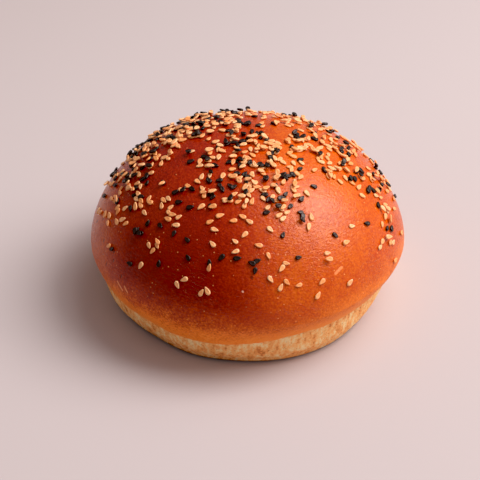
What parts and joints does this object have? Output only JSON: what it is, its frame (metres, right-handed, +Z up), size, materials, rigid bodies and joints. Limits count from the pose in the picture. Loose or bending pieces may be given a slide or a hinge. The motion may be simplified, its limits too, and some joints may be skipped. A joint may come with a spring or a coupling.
{
  "type": "bread roll",
  "caption": "Whole glazed burger bun: browned dome with fused sesame seeds over a pale band and a flat underside.",
  "frame": {"origin": "centre of the flat underside, which rests on the table", "axes": "+Z up through the crown, -Y towards the side that the picture shows, +X to that view's right"},
  "size_m": [0.1145, 0.1136, 0.0622],
  "materials": {
    "crust": "egg-glazed browned bread crust, satin gloss",
    "pale_seeds": "toasted hulled sesame, slight oily sheen",
    "black_seeds": "black sesame, slight sheen"
  },
  "bodies": {
    "root": {"bun": "crust"}
  },
  "joints": []
}
